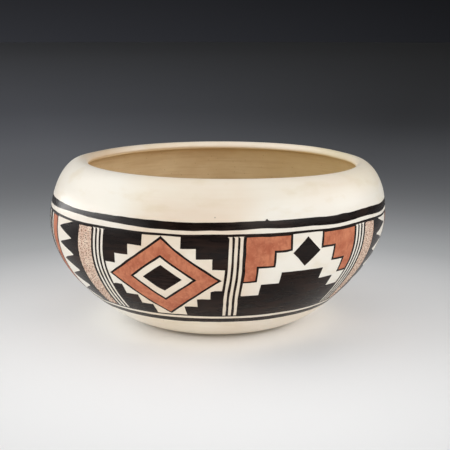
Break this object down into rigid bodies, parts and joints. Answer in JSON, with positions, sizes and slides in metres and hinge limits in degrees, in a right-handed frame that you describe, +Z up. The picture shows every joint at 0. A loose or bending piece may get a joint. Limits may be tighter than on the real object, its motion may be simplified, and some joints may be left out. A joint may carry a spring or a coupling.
{
  "type": "pottery bowl",
  "caption": "Round-shouldered hand-coiled pottery bowl with an inturned lip, cream slip outside and black and red painted panels; holds small things and stands on its flat base.",
  "frame": {"origin": "middle of the flat base, on the floor that the bowl stands on", "axes": "+Z up through the middle of the bowl, -Y towards the front that the picture shows"},
  "size_m": [0.2342, 0.2342, 0.113],
  "materials": {
    "fired_clay": "matte, scraped by hand",
    "cream_slip": "satin, polished with a stone",
    "black_paint": "satin mineral paint",
    "red_paint": "matte ochre paint",
    "brown_stipple": "brown dots on cream slip"
  },
  "bodies": {
    "root": {"base_pat": "fired_clay", "lower_coil": "fired_clay", "belly_coil": "fired_clay", "shoulder_coil": "fired_clay", "upper_coil": "fired_clay", "rim_coil": "fired_clay", "cream_slip": "cream_slip", "shoulder_band": "black_paint", "panel_top_line": "black_paint", "panel_foot_line": "black_paint", "ground_line": "black_paint", "divider_lines": "black_paint", "lozenge_black": "black_paint", "terrace_black": "black_paint", "teeth_black": "black_paint", "lozenge_red": "red_paint", "terrace_red": "red_paint", "bars_red": "red_paint", "teeth_stipple": "brown_stipple"}
  },
  "joints": []
}
